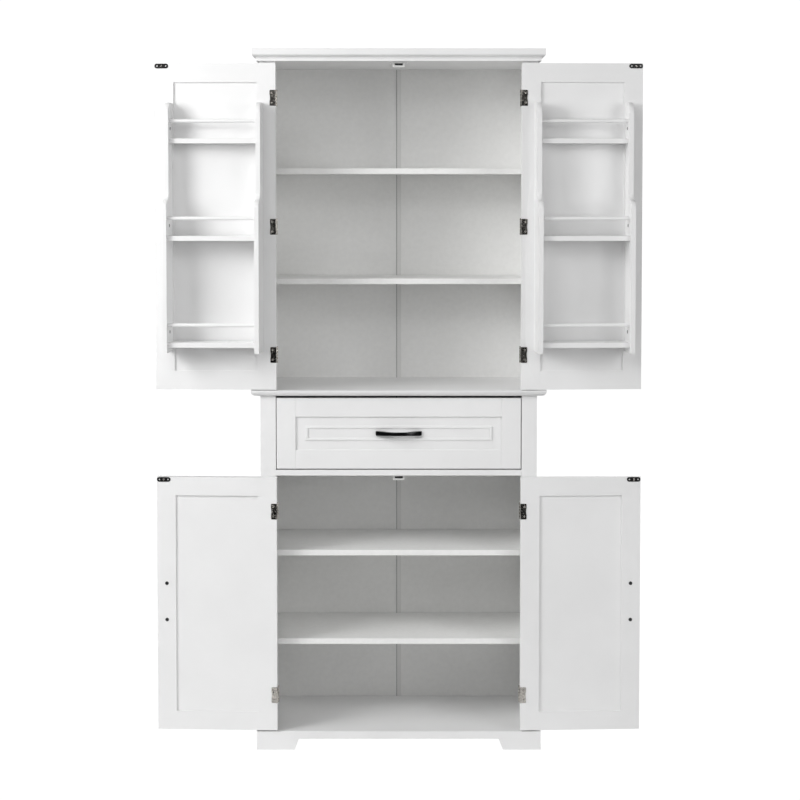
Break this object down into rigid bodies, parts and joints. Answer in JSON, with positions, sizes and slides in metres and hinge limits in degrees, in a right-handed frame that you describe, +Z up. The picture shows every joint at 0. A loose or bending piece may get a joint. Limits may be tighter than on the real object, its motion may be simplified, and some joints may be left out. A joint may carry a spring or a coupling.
{
  "type": "pantry cabinet",
  "caption": "Tall freestanding pantry cabinet: shelved upper and lower cupboards with panelled doors, door racks, a drawer between them and a bracket-foot plinth.",
  "frame": {"origin": "floor level under the middle of the whole cabinet's box, measured with all four doors standing open and the drawer shut", "axes": "+Z up, +Y towards the back, +X to the right as seen from the front"},
  "size_m": [1.2638, 0.4916, 1.8315],
  "materials": {
    "white_lacquer": "smooth satin white paint on fibreboard",
    "inner_white": "white foil on board, low sheen",
    "strip_plastic": "matt extruded strip",
    "catch_plastic": "moulded white plastic",
    "magnet_black": "dull black magnet",
    "strike_black": "black lacquered steel",
    "hinge_nickel": "polished nickel plate",
    "black_metal": "satin black powder coat",
    "black_screws": "blackened steel",
    "zinc_steel": "zinc plate"
  },
  "bodies": {
    "carcass": {"upper_sides": "white_lacquer", "lower_sides": "white_lacquer", "upper_stiles": "white_lacquer", "lower_stiles": "white_lacquer", "crown_board": "white_lacquer", "crown_moulding": "white_lacquer", "top_panel": "white_lacquer", "ledge_board": "white_lacquer", "divider_board": "white_lacquer", "bottom_panel": "white_lacquer", "plinth": "white_lacquer", "back_panels": "inner_white", "back_joint_strips": "strip_plastic", "shelves": "white_lacquer", "shelf_pins": "zinc_steel", "catch_housings": "catch_plastic", "catch_magnets": "magnet_black", "frame_hinge_leaves": "hinge_nickel", "hinge_pins": "hinge_nickel", "frame_screws": "hinge_nickel", "runner_cleats": "inner_white", "fixed_runners": "zinc_steel"},
    "upper_left_door": {"upper_left_door_frame": "white_lacquer", "upper_left_door_panel": "white_lacquer", "upper_left_hinge_leaves": "hinge_nickel", "upper_left_screws": "black_screws", "upper_left_strike_plate": "strike_black", "upper_left_pull": "black_metal", "upper_left_rack_sides": "white_lacquer", "upper_left_rack_shelves": "white_lacquer", "upper_left_rack_rails": "white_lacquer"},
    "upper_right_door": {"upper_right_door_frame": "white_lacquer", "upper_right_door_panel": "white_lacquer", "upper_right_hinge_leaves": "hinge_nickel", "upper_right_screws": "black_screws", "upper_right_strike_plate": "strike_black", "upper_right_pull": "black_metal", "upper_right_rack_sides": "white_lacquer", "upper_right_rack_shelves": "white_lacquer", "upper_right_rack_rails": "white_lacquer"},
    "lower_left_door": {"lower_left_door_frame": "white_lacquer", "lower_left_door_panel": "white_lacquer", "lower_left_hinge_leaves": "hinge_nickel", "lower_left_screws": "black_screws", "lower_left_strike_plate": "strike_black", "lower_left_pull": "black_metal"},
    "lower_right_door": {"lower_right_door_frame": "white_lacquer", "lower_right_door_panel": "white_lacquer", "lower_right_hinge_leaves": "hinge_nickel", "lower_right_screws": "black_screws", "lower_right_strike_plate": "strike_black", "lower_right_pull": "black_metal"},
    "drawer": {"drawer_front_frame": "white_lacquer", "drawer_front_panel": "white_lacquer", "drawer_front_bead": "white_lacquer", "drawer_box_walls": "inner_white", "drawer_bottom": "inner_white", "drawer_pull": "black_metal", "drawer_screws": "black_screws", "drawer_runners": "zinc_steel"}
  },
  "joints": [
    {"name": "upper_left_hinge", "type": "hinge", "parent": "carcass", "child": "upper_left_door", "pos_m": [-0.3165, -0.12971, 1.3725], "axis": [0, 0, 1], "range_deg": [0, 183]},
    {"name": "upper_right_hinge", "type": "hinge", "parent": "carcass", "child": "upper_right_door", "pos_m": [0.3165, -0.12971, 1.3725], "axis": [0, 0, -1], "range_deg": [0, 183]},
    {"name": "lower_left_hinge", "type": "hinge", "parent": "carcass", "child": "lower_left_door", "pos_m": [-0.3165, -0.12971, 0.3885], "axis": [0, 0, 1], "range_deg": [0, 183]},
    {"name": "lower_right_hinge", "type": "hinge", "parent": "carcass", "child": "lower_right_door", "pos_m": [0.3165, -0.12971, 0.3885], "axis": [0, 0, -1], "range_deg": [0, 183]},
    {"name": "drawer_slide", "type": "slide", "parent": "carcass", "child": "drawer", "axis": [0, -1, 0], "range_m": [0, 0.22]}
  ]
}
